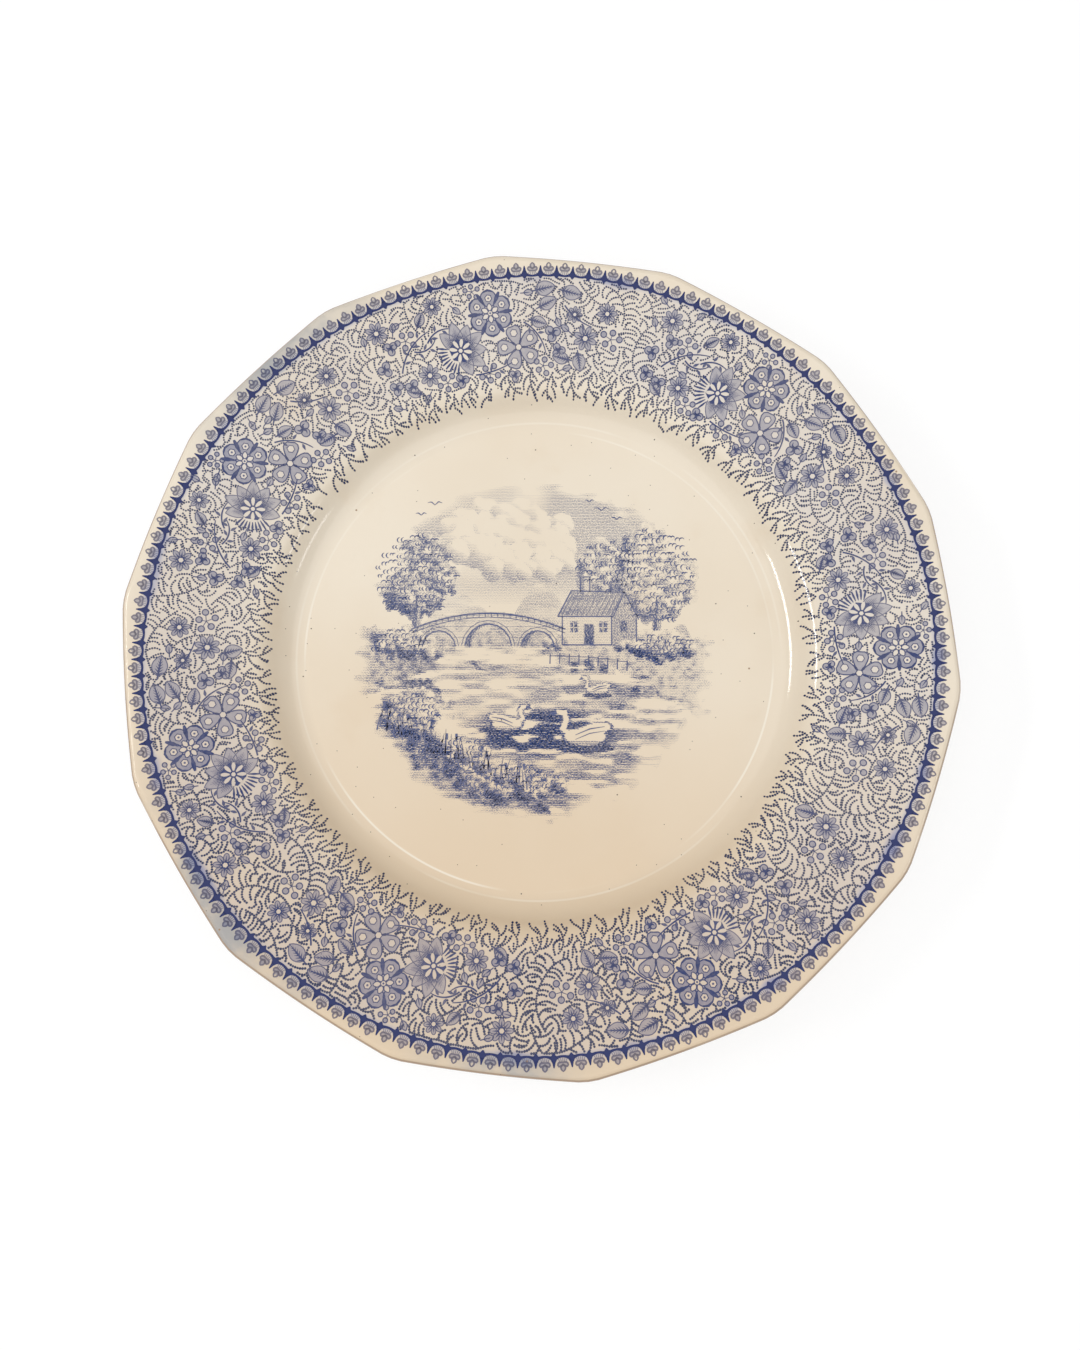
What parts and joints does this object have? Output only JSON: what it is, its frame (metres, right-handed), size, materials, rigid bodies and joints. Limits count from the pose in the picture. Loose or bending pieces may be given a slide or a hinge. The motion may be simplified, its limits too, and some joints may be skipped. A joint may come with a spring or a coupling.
{
  "type": "dinner plate",
  "caption": "Many-sided glazed earthenware dinner plate with a round well, a wide sloping rim, a foot ring, and blue printed decoration under the glaze.",
  "frame": {"origin": "centre of the foot ring, on the plane that the plate stands on", "axes": "+Z is the plate's axis, up through the well; +X points at one corner of the outline; +Y points at the middle of a side"},
  "size_m": [0.2602, 0.2562, 0.0252],
  "materials": {
    "clay": "bare fired clay, dry and slightly rough",
    "border_ink": "mid blue print under glaze",
    "edge_ink": "dark cobalt print under glaze",
    "centre_ink": "pale blue print under glaze",
    "glaze": "clear, warm, glossy glaze with faint specks"
  },
  "bodies": {
    "root": {"clay_body": "clay", "border_print": "border_ink", "edge_print": "edge_ink", "centre_print": "centre_ink", "glaze_coat": "glaze", "recess_glaze": "glaze"}
  },
  "joints": []
}
